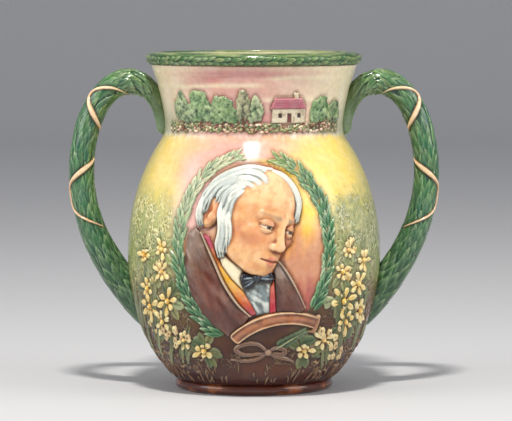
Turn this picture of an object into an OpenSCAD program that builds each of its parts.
// Two-handled loving cup in glazed earthenware with applied laurel, portrait, scroll and flower relief.
// Millimetres, +Z up, front of the cup towards -Y, origin at the centre of the foot on the table.

/* [Vessel] */
// Height of the cup from the table to the top of the rim
cup_h = 165; // [160:1:180]
// Radius of the belly at its widest
belly_r = 62.1; // [56:0.1:68]
// Height of the widest part of the belly
belly_z = 66; // [62:1:72]
// Vertical half axis of the belly below its widest part
belly_low = 78; // [74:1:86]
// Vertical half axis of the belly above its widest part
belly_high = 82; // [78:1:86]
// Radius of the neck where it meets the shoulder
neck_r = 43.2; // [40:0.1:46]
// Height of the seam between shoulder and neck
neck_z = 124.9; // [121:0.1:128]
// Radius of the body at the lip, under the rim roll
lip_r = 50.5; // [48:0.1:53]
// Thickness of the fired wall
wall = 4; // [3:0.1:5]
// Thickness of the floor of the cup
floor_t = 6; // [4:0.1:8]

/* [Foot] */
// Outer radius of the foot ring
foot_r = 38.9; // [37:0.1:40.5]
// Height of the foot ring
foot_h = 5.2; // [4:0.1:7]
// Width of the ring that touches the table
foot_w = 7; // [5:0.1:9]

/* [Rim] */
// Height of the half-round rim roll
rim_h = 6; // [5:0.1:8]
// How far the rim roll stands out from the lip
rim_out = 2; // [1.5:0.1:3]
// Number of laurel leaves in one row round the rim
rim_leaves = 40; // [30:1:46]

/* [Handles] */
// Tube radius of the handle at the grip
grip_r = 5.9; // [5:0.1:7]
// Distance from the belly to the centre line of the grip
grip_stand = 22.6; // [20:0.1:28]
// Height where the grip stands furthest out
grip_z = 106; // [100:1:112]
// Distance from the top of the cup down to the crown of the handle
crown_drop = 14.7; // [13:0.1:18]
// Distance from the neck out to the crown of the handle
crown_out = 18.4; // [16:0.1:21]
// Tube radius at the end of the upper tail, on the neck
tail_r = 2.4; // [2:0.1:3.5]
// Length of the upper tail below the crown
tail_drop = 26; // [22:0.1:30]
// Tube radius where the handle meets the belly
root_r = 8.6; // [7.5:0.1:10]
// Height where the lower end meets the belly
root_z = 41; // [37:1:46]
// Number of laurel leaves along one handle
handle_rows = 24; // [16:1:28]

/* [Handle ribbon] */
// Width of the ribbon that binds the handle
ribbon_w = 2; // [1.5:0.1:3.5]
// Thickness of the ribbon
ribbon_t = 0.7; // [0.4:0.1:1.2]
// Length along the handle of one zigzag of the ribbon
ribbon_pitch = 44; // [36:1:46]
// Number of zigzags of the ribbon
ribbon_waves = 2; // [1:0.5:2]

/* [Wreath] */
// Half width of the wreath's centre line, along the belly
wreath_a = 38; // [34:0.5:42]
// Half height of the wreath's centre line
wreath_b = 44.5; // [40:0.5:47]
// Height of the wreath's centre
wreath_z = 72.5; // [70:0.5:75]
// Length of a wreath leaf
wreath_leaf = 7.2; // [5:0.1:9]
// Height of a wreath leaf at its rib
wreath_rise = 1.5; // [0.8:0.1:2.5]

/* [Portrait] */
// Distance of the head's centre from the middle of the front
head_x = 3; // [1:0.5:4]
// Half width of the portrait's face
head_a = 16; // [13:0.5:17]
// Half height of the portrait's head
head_b = 22; // [18:0.5:24]
// Height of the centre of the head
head_z = 85.5; // [84:0.5:87]
// Depth of the hair round the head at its fullest
hair_t = 5; // [3:0.1:6]
// Lean of the head towards the viewer's right, in degrees
head_lean = 14; // [0:1:20]
// Height of the head's relief
head_rise = 4.2; // [2:0.1:6]
// Height of the relief of coat and shirt
coat_rise = 2.2; // [1:0.1:3.5]
// Half length of the bow tie
tie_l = 8.5; // [7:0.1:9]

/* [Scroll] */
// Distance of the scroll's crown from the middle of the front
scroll_x = 16; // [14:0.5:18]
// Radius of the scroll's arch, at the middle of the band
scroll_r = 36; // [30:0.5:42]
// Height of the crown of the scroll's arch
scroll_z = 40; // [38:0.5:42]
// Width of the scroll's band
scroll_w = 6.6; // [5:0.1:9]
// Height of the scroll's relief
scroll_rise = 1.8; // [0.8:0.1:3]

/* [Flowers] */
// Radius of the largest flower
flower_r = 5; // [3:0.1:5.5]
// Height of the lowest flower in a column
panel_low = 35; // [33:0.5:37]
// Height of a petal at its middle
petal_rise = 1.5; // [0.8:0.1:2.5]
// Number of blades in one patch of foliage
blades = 15; // [8:1:20]
// Number of grass tufts round the foot
tufts = 44; // [20:1:52]

/* [Neck frieze] */
// Height of the relief on the neck
frieze_rise = 1.2; // [0.6:0.1:2]
// Height of the tallest tree on the neck
tree_h = 17; // [12:0.5:20]
// Height of the neck, from the foot of the hedge to the lip, that the trees and the cottage are drawn for
frieze_h = 31.7; // [28:0.1:36]
// Length of the cottage wall, along the neck
cottage_w = 19; // [14:0.5:24]

/* [Hidden] */
$fn = 96;

// Film of slip between an applied piece and what it is stuck to
slip = 0.12;
// Thickness of an applied piece at its edge
edge = 0.35;
// Bare ground left between neighbouring pieces of relief
ground = 0.6;
// Smallest height step, for slopes and for cuts that must pass through
tiny = 0.05;
// Rounding of the seam between shoulder and neck
seam_round = 2;
// How fast the neck opens towards the lip
flare_power = 1.7;
// Number of steps in each half of the vessel's outline
outline_steps = 22;
// Height where the lip ends inside the rim roll
lip_z = cup_h - rim_h;
// Number of sides and rings of the swept handle
tube_sides = 16;
tube_rings = 14;

// Colours of the glazes
leaf_green = "#3f7a4a";
light_green = "#8fae78";
cream = "#e9dfb6";
rose = "#cf7f86";
clay_brown = "#5f3626";
skin = "#dba06d";
petal_yellow = "#eed878";

// Radius of the vessel's outside at a height
function smooth_max(a, b, k) = (a + b + sqrt((a - b) ^ 2 + k ^ 2)) / 2;
function oval(offset, half) = sqrt(max(0, 1 - (offset / half) ^ 2));
function neck_at(z) = neck_r + (lip_r - neck_r) * max(0, (z - neck_z) / (lip_z - neck_z)) ^ flare_power;
function body_r(z) = z < belly_z
    ? belly_r * oval(belly_z - z, belly_low)
    : smooth_max(belly_r * oval(z - belly_z, belly_high), neck_at(z), seam_round);

// Change of that radius with height, and the inside of the wall
function body_slope(z) = (body_r(z + tiny) - body_r(z - tiny)) / (2 * tiny);
function inner_r(z) = body_r(z) - wall * sqrt(1 + body_slope(z) ^ 2);

// A point on the vessel: angle from the front, height, and distance out along the surface normal
function on_cup(a, z, h) =
    let (slope = body_slope(z), n = sqrt(1 + slope ^ 2), r = body_r(z) + h / n)
    [r * sin(a), -r * cos(a), z - h * slope / n];

// A flat chart of the vessel round one angle: [distance along the surface, height] and height of relief
function cup_chart(a0) = function(p, h) on_cup(a0 + p.x / body_r(p.y) * 180 / PI, p.y, h);
front = cup_chart(0);

// Plane helpers
function turned(p, angle) = [p.x * cos(angle) - p.y * sin(angle), p.x * sin(angle) + p.y * cos(angle)];
function mixed(a, b, t) = a + (b - a) * t;
function bezier(p, t) =
    p[0] * (1 - t) ^ 3 + p[1] * 3 * t * (1 - t) ^ 2 + p[2] * 3 * t ^ 2 * (1 - t) + p[3] * t ^ 3;
function ellipse_points(a, b, count) =
    [for (i = [0:count - 1]) [a * cos(360 * i / count), b * sin(360 * i / count)]];
function placed(points, centre, lean) = [for (p = points) centre + turned(p, -lean)];
function reversed(list) = [for (i = [len(list) - 1:-1:0]) list[i]];

// One leaf or petal laid on a chart: six points round its edge and a rib of two points
module leaf(chart, base, turn, length, width, rise) {
    edge_points = [[0, 0], [0.3, 0.5], [0.72, 0.36], [1, 0], [0.72, -0.36], [0.3, -0.5]];
    rib = [[0.3, 0], [0.7, 0]];
    function lay(p, h) = chart(base + turned([p.x * length, p.y * width], turn), h);
    polyhedron(
        points = [for (p = edge_points) lay(p, slip), for (p = rib) lay(p, slip + rise)],
        faces = [[0, 1, 6], [1, 7, 6], [1, 2, 7], [2, 3, 7], [3, 4, 7], [4, 6, 7], [4, 5, 6], [5, 0, 6],
                 [0, 5, 1], [1, 5, 2], [2, 5, 4], [2, 4, 3]]);
}

// A crowned pad with a star-shaped outline, given anticlockwise: rings of [share of the outline, height]
module dome(chart, outline, centre, rings, top) {
    n = len(outline);
    last = len(rings) - 1;
    function ring_point(i, share) = mixed(centre, outline[i], share);
    function at(k, i) = k * n + (i % n);
    apex = (last + 1) * n;
    under = apex + 1;
    polyhedron(
        points = [for (r = rings) for (i = [0:n - 1]) chart(ring_point(i, r[0]), slip + r[1]),
                  chart(centre, slip + top), chart(centre, slip)],
        faces = [for (k = [0:1:last - 1]) for (i = [0:n - 1])
                     each [[at(k, i), at(k + 1, i), at(k, i + 1)],
                           [at(k, i + 1), at(k + 1, i), at(k + 1, i + 1)]],
                 for (i = [0:n - 1]) [at(last, i), apex, at(last, i + 1)],
                 for (i = [0:n - 1]) [at(0, i + 1), under, at(0, i)]]);
}

// A band of relief from a grid of [distance, height, relief]: rows go up, columns go right
module band(chart, rows) {
    n = len(rows);
    m = len(rows[0]);
    function top(i, j) = i * m + j;
    function low(i, j) = n * m + i * m + j;
    sides = concat([for (j = [0:m - 1]) [0, j]], [for (i = [1:n - 1]) [i, m - 1]],
                   [for (j = [m - 2:-1:0]) [n - 1, j]], [for (i = [n - 2:-1:1]) [i, 0]]);
    polyhedron(
        points = [for (r = rows) for (p = r) chart([p.x, p.y], slip + p.z),
                  for (r = rows) for (p = r) chart([p.x, p.y], slip)],
        faces = [for (i = [0:n - 2]) for (j = [0:m - 2])
                     each [[top(i, j), top(i + 1, j), top(i, j + 1)],
                           [top(i + 1, j), top(i + 1, j + 1), top(i, j + 1)],
                           [low(i, j), low(i, j + 1), low(i + 1, j)],
                           [low(i + 1, j), low(i, j + 1), low(i + 1, j + 1)]],
                 for (k = [0:len(sides) - 1])
                     let (a = sides[k], b = sides[(k + 1) % len(sides)])
                     each [[top(a[0], a[1]), top(b[0], b[1]), low(a[0], a[1])],
                           [low(a[0], a[1]), top(b[0], b[1]), low(b[0], b[1])]]]);
}

// A band between a left and a right edge line, crowned by rise in the middle, with two rows for each point
function halved(line) = [for (i = [0:0.5:len(line) - 1]) mixed(line[floor(i)], line[ceil(i)], 0.5)];
module crowned_band(chart, left, right, rise, columns) {
    left_line = halved(left);
    right_line = halved(right);
    band(chart, [for (i = [0:len(left_line) - 1]) [for (j = [0:columns])
        let (t = j / columns, p = mixed(left_line[i], right_line[i], t))
        [p.x, p.y, edge + rise * sin(180 * t)]]]);
}

// The outline of the vessel's outside from the foot to the lip
function rising(from, to, count) = [for (i = [0:count]) mixed(from, to, i / count)];
outer_heights = concat(rising(foot_h, belly_z, outline_steps), rising(belly_z, lip_z, 2 * outline_steps));
outer_line = [for (i = [0:len(outer_heights) - 1])
    if (i == 0 || outer_heights[i] > outer_heights[i - 1]) [body_r(outer_heights[i]), outer_heights[i]]];

// Solid space that the vessel fills with its film of slip, for cutting what sits against it
module vessel_space() {
    rotate_extrude() polygon(concat([[0, foot_h]], [for (p = outer_line) p + [slip, 0]], [[0, lip_z]]));
}

module cup_body() {
    floor_z = foot_h + floor_t;
    inner_heights = rising(lip_z, floor_z + wall, 2 * outline_steps);
    floor_corner = [for (i = [1:6])
        [inner_r(floor_z + wall) - wall * (1 - cos(15 * i)), floor_z + wall * (1 - sin(15 * i))]];
    color(cream) rotate_extrude() polygon(concat(
        [[0, foot_h]], outer_line, [for (z = inner_heights) [inner_r(z), z]], floor_corner, [[0, floor_z]]));
}

module foot_ring() {
    bead = foot_h / 2;
    color(clay_brown) rotate_extrude() difference() {
        union() {
            translate([foot_r - foot_w, 0]) square([foot_w - bead, foot_h]);
            translate([foot_r - bead, bead]) circle(bead);
        }
        translate([0, -foot_h]) square([foot_r, foot_h]);
    }
}

// The rim roll's inner radius, flush with the inside of the lip
rim_inner = inner_r(lip_z);

module rim_roll() {
    bead = rim_h / 2;
    color(light_green) rotate_extrude() union() {
        translate([rim_inner, lip_z]) square([lip_r + rim_out - bead - rim_inner, rim_h]);
        translate([lip_r + rim_out - bead, lip_z + bead]) circle(bead);
    }
}

// A chart of the rim roll: distance round the rim, distance round the bead, height of relief
function rim_chart(p, h) =
    let (bead = rim_h / 2, ring = lip_r + rim_out - bead, a = p.x / (ring + bead) * 180 / PI,
         b = p.y / bead * 180 / PI, r = ring + (bead + h) * cos(b))
    [r * sin(a), -r * cos(a), lip_z + bead + (bead + h) * sin(b)];

module rim_laurel() {
    around = 2 * PI * (lip_r + rim_out) / rim_leaves;
    leaf_w = rim_h * 0.36;
    color(leaf_green) for (i = [0:rim_leaves - 1]) for (row = [-1, 1])
        leaf(function(p, h) rim_chart(p, h), [around * (i + row / 4), row * leaf_w * 0.72], row * 12,
             around * 0.86, leaf_w, edge);
}

// The handle's centre line, in the plane of the handle, as three curves
tail_z = cup_h - crown_drop - tail_drop;
tail = [body_r(tail_z), tail_z];
crown = [neck_r + crown_out, cup_h - crown_drop];
widest = [belly_r + grip_stand, grip_z];
root = [body_r(root_z) - root_r, root_z - root_r / 2];
handle_curves = [
    [tail, tail + [0, 0.6 * tail_drop], crown - [0.6 * crown_out, 0], crown],
    [crown, [mixed(crown.x, widest.x, 0.55), crown.y], [widest.x, mixed(widest.y, crown.y, 0.55)], widest],
    [widest, widest - [0, 0.36 * (grip_z - root_z)],
     [mixed(widest.x, root.x, 0.32), root_z + 2 * root_r], root]];
function handle_point(t) = let (k = min(2, floor(t))) bezier(handle_curves[k], t - k);
function handle_along(t) =
    let (a = handle_point(max(0, t - 0.01)), b = handle_point(min(3, t + 0.01))) (b - a) / norm(b - a);
// The tail ends bluntly, rounded over its first step
function tail_end(t) = t * tube_rings < 1 ? 0.5 + 0.5 * sqrt(t * tube_rings) : 1;
function handle_radius(t) = t < 1
    ? tail_end(t) * mixed(tail_r, grip_r, t)
    : t < 2 ? grip_r : mixed(grip_r, root_r, (t - 2) ^ 2);

// A point on the handle's tube: place along it, angle from its outer side, and height above it
function on_tube(t, angle, h) =
    let (d = handle_along(t), c = handle_point(t), r = handle_radius(t) + h, side = r * cos(angle))
    [c.x - d.y * side, -r * sin(angle), c.y + d.x * side];

module handle_tube() {
    rings = 3 * tube_rings;
    function at(k, i) = k * tube_sides + (i % tube_sides);
    difference() {
        polyhedron(
            points = [for (k = [0:rings]) for (i = [0:tube_sides - 1])
                          on_tube(k / tube_rings, 360 * i / tube_sides, 0)],
            faces = [reversed([for (i = [0:tube_sides - 1]) i]), [for (i = [0:tube_sides - 1]) at(rings, i)],
                     for (k = [0:rings - 1]) for (i = [0:tube_sides - 1])
                         each [[at(k, i), at(k, i + 1), at(k + 1, i)],
                               [at(k, i + 1), at(k + 1, i + 1), at(k + 1, i)]]]);
        vessel_space();
    }
}

module right_handle() color(leaf_green) handle_tube();
module left_handle() mirror([1, 0, 0]) right_handle();

// Length along the handle against place on its curves
length_steps = 90;
function handle_share(i) = handle_point(min(3, 3 * i / length_steps));
function handle_step(i) = norm(handle_share(i + 1) - handle_share(i));
handle_lengths = [for (i = 0, s = 0; i <= length_steps; s = s + handle_step(i), i = i + 1)
    [s, 3 * i / length_steps]];
handle_len = handle_lengths[length_steps][0];

// A chart of the handle: distance round the tube from its outer side, distance along it, height of relief
function tube_chart(p, h) =
    let (t = lookup(p.y, handle_lengths)) on_tube(t, p.x / handle_radius(t) * 180 / PI, h);
function clear_of_cup(p, gap) = let (q = tube_chart(p, 0)) norm([q.x, q.y]) > body_r(min(q.z, lip_z)) + gap;

module handle_leaves() {
    pitch = (handle_len - root_r) / handle_rows;
    around = 6;
    for (row = [1:handle_rows - 2]) for (i = [0:around - 1]) {
        middle = pitch * row;
        tube = handle_radius(lookup(middle, handle_lengths));
        place = [2 * PI * tube * (i + (row % 2) / 2) / around, middle];
        // Leaves stop short of the belly and the neck
        if (clear_of_cup(place, pitch) && clear_of_cup(place + [0, pitch], pitch / 2))
            leaf(function(p, h) tube_chart(p, h), place, 90, pitch * 1.1, 5 * tube / around, edge);
    }
}
module right_handle_leaves() color(light_green) handle_leaves();
module left_handle_leaves() mirror([1, 0, 0]) right_handle_leaves();

// The ribbon zigzags over the front half of the handle and again over its back half
module handle_ribbon() {
    // It starts inside the bend, just before the crown
    start = handle_lengths[length_steps / 3][0] - 1.5 * ribbon_w;
    end = start + ribbon_pitch * ribbon_waves;
    swing = 70;
    steps = 44;
    lift = edge + 2 * slip;
    function angle_at(s) = 90 + swing * cos(360 * (s - start) / ribbon_pitch);
    function tube_at(s) = handle_radius(lookup(s, handle_lengths));
    function centre_at(s, half) = [half * angle_at(s) * PI / 180 * tube_at(s), s];
    for (half = [-1, 1]) band(function(p, h) tube_chart(p, h + lift), [for (i = [0:steps])
        let (s = mixed(start, end, i / steps), d = centre_at(s + tiny, half) - centre_at(s - tiny, half),
             across = [d.y, -d.x] / norm(d) * ribbon_w / 2, c = centre_at(s, half))
        [[c.x - across.x, c.y - across.y, ribbon_t], [c.x + across.x, c.y + across.y, ribbon_t]]]);
}
module right_handle_ribbon() color(cream) handle_ribbon();
module left_handle_ribbon() mirror([1, 0, 0]) right_handle_ribbon();

// Wreath: leaves in threes along an oval, each branch from its foot to the top
function wreath_point(side, angle) = [side * wreath_a * sin(angle), wreath_z - wreath_b * cos(angle)];
// How far the leaves reach to either side of that oval
wreath_half = 0.64 * wreath_leaf;
module wreath_branch(side, from) {
    to = 176;
    stations = round((to - from) / 7.4);
    for (k = [0:stations - 1]) {
        angle = mixed(from, to, k / stations);
        p = wreath_point(side, angle);
        d = wreath_point(side, angle + 1) - p;
        heading = atan2(d.y, d.x);
        // The leaves grow smaller towards the top, where the branches almost meet
        size = wreath_leaf * (angle < 140 ? 1 : mixed(1, 0.68, (angle - 140) / (to - 140)));
        leaf(front, p, heading, size * 0.64, size * 0.34, wreath_rise);
        for (hand = [-1, 1])
            leaf(front, p + turned([0.12, hand * 0.26] * size, heading), heading + hand * 24,
                 size * 0.86, size * 0.34, wreath_rise * 0.8);
    }
}
module wreath_left_branch() color(leaf_green) wreath_branch(-1, 24);
module wreath_right_branch() color(leaf_green) wreath_branch(1, 50);

// Portrait: a plain oval head with general features, and the dress under it
head_c = [head_x, head_z];
function on_head(u, v) = head_c + turned([u * head_a, v * head_b], -head_lean);
head_outline = placed(ellipse_points(head_a, head_b, 24), head_c, head_lean);
// Height of the head's crowned pad above the body at a share of its half width and half height
function head_relief(u, v) = edge + head_rise * sqrt(max(0, 1 - u ^ 2 - v ^ 2));
function head_chart(p, h) =
    let (q = turned(p - head_c, head_lean)) front(p, head_relief(q.x / head_a, q.y / head_b) - 2 * slip + h);

on_face = function(p, h) head_chart(p, h);

// A small rounded feature on the face, placed and sized in shares of the head
module feature(u, v, a, b, rise) {
    c = on_head(u, v);
    dome(on_face, placed(ellipse_points(head_a * a, head_b * b, 8), c, head_lean), c, [[1, 0]], rise);
}

module portrait_head() color(skin) difference() {
    head_and_features();
    vessel_space();
}

module head_and_features() {
    dome(front, head_outline, head_c,
         [for (share = [1, 0.97, 0.85, 0.62, 0.32]) [share, share == 1 ? 0 : head_relief(share, 0)]],
         head_relief(0, 0));
    // Nose, two brows, lips and chin
    leaf(on_face, on_head(0.18, 0.16), -90 - head_lean, head_b * 0.36, head_a * 0.3, head_rise / 3);
    for (hand = [-1, 1]) feature(0.18 + hand * 0.36, 0.22, 0.2, 0.06, head_rise / 6);
    feature(0.18, -0.4, 0.24, 0.06, head_rise / 7);
    feature(0.16, -0.68, 0.22, 0.11, head_rise / 8);
}

// Hair: locks that lie round the head from one cheek over the top to the other
module portrait_hair() color(cream) {
    locks = 13;
    from = 10;
    to = 218;
    for (k = [0:locks - 1]) {
        a0 = mixed(from, to, k / locks);
        a1 = mixed(from, to, (k + 0.94) / locks);
        depth = hair_t * (0.55 + 0.45 * sqrt(sin(180 * k / (locks - 1))));
        band(front, [for (i = [0:3]) [for (j = [0:3])
            let (out = ground + depth * i / 3, a = mixed(a1, a0, j / 3),
                 p = head_c + turned([(head_a + out) * cos(a), (head_b + out) * sin(a)], -head_lean))
            [p.x, p.y, edge + coat_rise * sin(30 + 50 * i) * (0.75 + 0.25 * sin(60 * j))]]]);
    }
}

// Space over the head and its hair, which the dress below leaves free
module head_space(share) {
    rotate([90, 0, 0]) linear_extrude(2 * belly_r)
        polygon([for (p = placed(ellipse_points(head_a * share, head_b * share, 32), head_c, head_lean))
                     [body_r(p.y) * sin(p.x / body_r(p.y) * 180 / PI), p.y]]);
}

// The scroll's arch, from its left end to its right end
scroll_c = [scroll_x, scroll_z - scroll_r];
scroll_from = 136;
scroll_to = 64;
function on_scroll(angle, out) = scroll_c + (scroll_r + out) * [cos(angle), sin(angle)];

// The hem lies along the scroll and the coat's outer edges lie inside the wreath
function hem(angle) = on_scroll(angle, scroll_w / 2 + ground);
function inside_wreath(side, z) =
    let (inset = wreath_half + 2 * ground)
    [side * (wreath_a - inset) * oval(z - wreath_z, wreath_b - inset), z];
function shifted(line, by) = [for (p = line) p + [by, 0]];
// Centre of the bow tie, under the chin
tie_c = [head_x / 2, head_z - head_b - 0.35 * tie_l];
// A point of the dress: share of the wreath's half width, and share of the height from scroll to head
function dress(u, v) = [u * wreath_a, mixed(scroll_z, head_z, v)];
function coat_edge(side, v, inset) = inside_wreath(side, dress(0, v).y) - [inset * wreath_a, 0];
// Edges of the open coat from hem to collar, on the left and on the right
coat_left = [for (v = [-0.04, 0.09, 0.31, 0.57, 0.84]) coat_edge(-1, v, 0)];
coat_front = [hem(128), dress(-0.26, 0.09), dress(-0.34, 0.29), dress(-0.46, 0.51), dress(-0.59, 0.77)];
coat_back = [hem(92), dress(0.37, 0.18), dress(0.38, 0.26), dress(0.42, 0.37), dress(0.5, 0.46)];
coat_right = [hem(82), dress(0.63, 0.2), coat_edge(1, 0.29, 0.05), coat_edge(1, 0.4, 0.08),
              dress(0.63, 0.51)];
shirt_left = [hem(118), dress(-0.13, 0.11), dress(-0.17, 0.22), tie_c + [-1.12, -0.65] * tie_l];
shirt_right = [hem(100), dress(0.25, 0.15), dress(0.26, 0.24), tie_c + [0.96, -0.47] * tie_l];

module portrait_coat() color(clay_brown) difference() {
    union() {
        crowned_band(front, coat_left, coat_front, coat_rise, 6);
        crowned_band(front, coat_back, coat_right, coat_rise, 4);
    }
    head_space(1.02);
}

module portrait_lapels() color(rose) difference() {
    union() {
        crowned_band(front, shifted(coat_front, 0.01 * wreath_a), shifted(coat_front, 0.105 * wreath_a),
                     coat_rise / 2, 2);
        crowned_band(front, shifted(coat_back, -0.085 * wreath_a), shifted(coat_back, -0.01 * wreath_a),
                     coat_rise / 2, 2);
    }
    head_space(1.02);
}

module portrait_shirt() color("white") difference() {
    crowned_band(front, shirt_left, shirt_right, coat_rise / 2, 4);
    head_space(1.02);
}

module portrait_bow_tie() color("#27304a") difference() {
    union() {
        for (hand = [-1, 1]) {
            c = tie_c + turned([hand * 0.54 * tie_l, 0], 11);
            dome(front, placed(ellipse_points(0.46 * tie_l, 0.33 * tie_l, 10), c, -11), c,
                 [[1, 0], [0.7, coat_rise * 0.7]], coat_rise * 0.9);
        }
        dome(front, placed(ellipse_points(0.21 * tie_l, 0.24 * tie_l, 8), tie_c, 0), tie_c,
             [[1, 0], [0.8, coat_rise * 0.9]], coat_rise * 1.1);
    }
    head_space(1.02);
}

// Scroll: an arched band with raised edges and a rolled end on either side
module scroll_banner() color(cream) {
    profile = [[-0.5, 0.2], [-0.38, 1], [0, 0.7], [0.38, 1], [0.5, 0.2]];
    steps = 20;
    band(front, [for (q = profile) [for (j = [0:steps])
        let (p = on_scroll(mixed(scroll_from, scroll_to, j / steps), q[0] * scroll_w))
        [p.x, p.y, q[1] * scroll_rise]]]);
    for (a = [scroll_from, scroll_to])
        dome(front, placed(ellipse_points(scroll_w * 0.23, scroll_w * 0.62, 12), on_scroll(a, 0), 90 - a),
             on_scroll(a, 0), [[1, 0], [0.8, scroll_rise]], scroll_rise * 1.3);
}

// Bow that ties the scroll to the spray, with two loops and two tails
module scroll_tie() color(cream) {
    knot = [0.42 * scroll_x, scroll_z - 2.58 * scroll_w];
    for (hand = [-1, 1]) {
        c = knot + [hand * 0.7, 0.09] * scroll_w;
        dome(front, placed(ellipse_points(0.55 * scroll_w, 0.32 * scroll_w, 10), c, hand * 10), c,
             [[1, 0], [0.7, scroll_rise * 0.8]], scroll_rise * 0.6);
        tail_line = [for (i = [0:8])
            knot + scroll_w * [hand * (0.15 + 0.24 * i), -0.33 - 0.053 * i + 0.12 * sin(90 * i)]];
        line = hand > 0 ? tail_line : reversed(tail_line);
        band(front, [for (side = [-0.12, 0.12])
            [for (p = line) [p.x, p.y + side * scroll_w, scroll_rise / 2]]]);
    }
    dome(front, placed(ellipse_points(0.24 * scroll_w, 0.27 * scroll_w, 8), knot, 0), knot,
         [[1, 0], [0.8, scroll_rise]], scroll_rise * 1.1);
}

module scroll_leaf() color(leaf_green) leaf(front, [0.81 * scroll_x, scroll_z - 2.2 * scroll_w], 34,
                                             1.87 * wreath_leaf, 0.58 * wreath_leaf, wreath_rise);

// One flower: six petals round a raised cup
module flower(chart, c, r, turn) {
    petals = 6;
    for (i = [0:petals - 1])
        leaf(chart, c + turned([0.18 * r, 0], turn + 360 * i / petals), turn + 360 * i / petals,
             0.82 * r, 0.47 * r, petal_rise);
    cup_edge = placed(ellipse_points(0.34 * r, 0.34 * r, 10), c, 4 - turn);
    dome(chart, cup_edge, c, [[1, 0], [0.92, petal_rise * 1.2]], petal_rise * 0.8);
}

// A panel of flowers in two staggered columns, and the blades that stand between them
blade_w = 1.8;
panel_near = wreath_a + wreath_half + ground / 2 + flower_r;
panel_far = panel_near + 2 * flower_r + blade_w + 2 * ground;
panel_columns = [panel_near, panel_far];
panel_pitch = 2.48 * flower_r;
function flower_size(k) = flower_r * (0.84 + 0.08 * ((2 * k) % 3));
module flower_panel(chart, side) {
    for (column = [0, 1]) for (k = [0:3 - column])
        flower(chart, [side * panel_columns[column], panel_low + panel_pitch * (k + column / 2)],
               flower_size(k + column), 11 * k + 17 * column);
    for (k = [0, 1])
        flower(chart, [side * (panel_near - flower_r * (2.4 + 2.2 * k)), panel_low - flower_r * (1.4 + k)],
               flower_size(k) * 0.92, 8 + 25 * k);
}
module foliage_panel(chart, side) {
    between = (panel_near + panel_far) / 2;
    for (k = [0:blades - 1]) {
        column = k % 3;
        step = floor(k / 3);
        base = column == 0 ? [between, panel_low + flower_r * (2.32 * step - 2.2)]
             : column == 1 ? [panel_far + flower_r + blade_w, panel_low + flower_r * (2.08 * step - 1.8)]
             : [flower_r * (5.8 + 1.48 * step), panel_low + flower_r * (0.24 * step - 3.44)];
        lean = side * (column == 2 ? 4 : -2);
        leaf(chart, [side * base.x, base.y], 90 + lean, flower_r * (column == 2 ? 1.32 : 1.92), blade_w,
             wreath_rise * 0.7);
    }
}
module left_flowers() color(petal_yellow) flower_panel(front, -1);
module right_flowers() color(petal_yellow) flower_panel(front, 1);
module left_foliage() color(leaf_green) foliage_panel(front, -1);
module right_foliage() color(leaf_green) foliage_panel(front, 1);
module back_flowers() color(petal_yellow) {
    flower_panel(cup_chart(180), -1);
    flower_panel(cup_chart(180), 1);
    for (k = [-1:1])
        flower(cup_chart(180), [3.2 * k * flower_r, belly_z - 1.4 * k ^ 2 * flower_r], flower_r, 15 * k);
}
module back_foliage() color(leaf_green) {
    foliage_panel(cup_chart(180), -1);
    foliage_panel(cup_chart(180), 1);
    for (k = [0:7])
        leaf(cup_chart(180),
             [1.48 * (k - 3.5) * flower_r, panel_low + flower_r * (0.8 * sin(70 * k) - 1.4)], 90,
             3.4 * flower_r, 1.2 * blade_w, wreath_rise * 0.7);
}

// Neck frieze: trees, a cottage and a hedge along the seam
frieze_z = neck_z + 2 * frieze_rise;
// The landscape stretches with the neck
frieze_stretch = (lip_z - frieze_z) / frieze_h;
function up_neck(h) = frieze_z + h * frieze_stretch;
module tree(a, w, h) {
    crown_c = [0, up_neck(0.235 * tree_h + 0.56 * h)];
    lobes = [for (i = [0:20])
        crown_c + [w / 2 * cos(360 * i / 21), h * 0.44 * frieze_stretch * sin(360 * i / 21)]
            * (0.94 + 0.06 * cos(120 * i))];
    dome(cup_chart(a), lobes, crown_c, [[1, 0], [0.82, frieze_rise * 0.85]], frieze_rise);
}
module neck_trees() color(leaf_green) {
    for (k = [0:2]) tree(-50 + 15 * k, 0.565 * tree_h, tree_h * (0.78 + 0.2 * sin(90 * k)));
    for (k = [0:1]) tree(-7 + 8 * k, 0.27 * tree_h, tree_h * (0.95 - 0.12 * k));
    for (k = [0:1]) tree(45 + 13 * k, 0.506 * tree_h, tree_h * (0.72 - 0.12 * k));
    for (k = [0:7]) tree(118 + 17.6 * k, 0.565 * tree_h, tree_h * (0.74 + 0.16 * sin(100 * k)));
}
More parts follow.
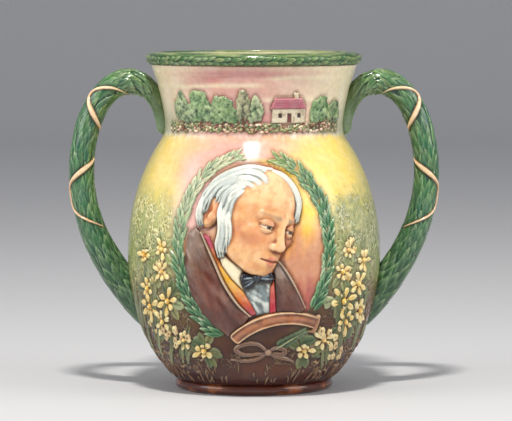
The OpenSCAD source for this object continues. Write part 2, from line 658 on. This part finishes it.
module block(chart, x0, x1, z0, z1, rise) {
    band(chart, [for (z = [z0, z1]) [for (j = [0:4]) [mixed(x0, x1, j / 4), z, rise]]]);
}
module neck_cottage() color(cream) {
    site = cup_chart(22);
    eaves = up_neck(0.59 * cottage_w);
    ridge = up_neck(0.875 * cottage_w);
    half = cottage_w / 2;
    block(site, -0.9 * half, 0.9 * half, up_neck(0.242 * cottage_w), eaves, frieze_rise * 0.7);
    band(site, [for (i = [0, 1]) [for (j = [0:4])
        let (inset = 0.25 * half * i)
        [mixed(inset - half, half - inset, j / 4), mixed(eaves, ridge, i), frieze_rise * (1 - 0.3 * i)]]]);
    block(site, 0.26 * half, 0.52 * half, ridge, up_neck(cottage_w), frieze_rise * 0.8);
}
module hedge(from, to, steps) {
    band(front, [for (i = [0:2]) [for (j = [0:steps])
        let (a = mixed(from, to, j / steps), wave = i == 2 ? 0.33 * sin(150 * j) : 0,
             z = up_neck(frieze_rise * (1.5 * i + wave)))
        [a * PI / 180 * body_r(z), z, i == 1 ? frieze_rise : edge]]]);
}
module neck_hedge() color(light_green) {
    hedge(-66, 66, 33);
    hedge(112, 248, 33);
}

module foot_grass() color(leaf_green) for (k = [0:tufts - 1]) {
    // Each blade leans a little to one side or the other
    lean = 14 * sin(140 * k);
    blade = wreath_leaf * (0.94 + 0.22 * sin(77 * k));
    leaf(cup_chart(360 * k / tufts), [0, foot_h + 4 * edge], 90 + lean, blade, 0.24 * wreath_leaf,
         wreath_rise * 0.6);
}

cup_body();
foot_ring();
rim_roll();
rim_laurel();
left_handle();
right_handle();
left_handle_leaves();
right_handle_leaves();
left_handle_ribbon();
right_handle_ribbon();
wreath_left_branch();
wreath_right_branch();
portrait_head();
portrait_hair();
portrait_coat();
portrait_lapels();
portrait_shirt();
portrait_bow_tie();
scroll_banner();
scroll_tie();
scroll_leaf();
left_flowers();
left_foliage();
right_flowers();
right_foliage();
back_flowers();
back_foliage();
neck_trees();
neck_cottage();
neck_hedge();
foot_grass();
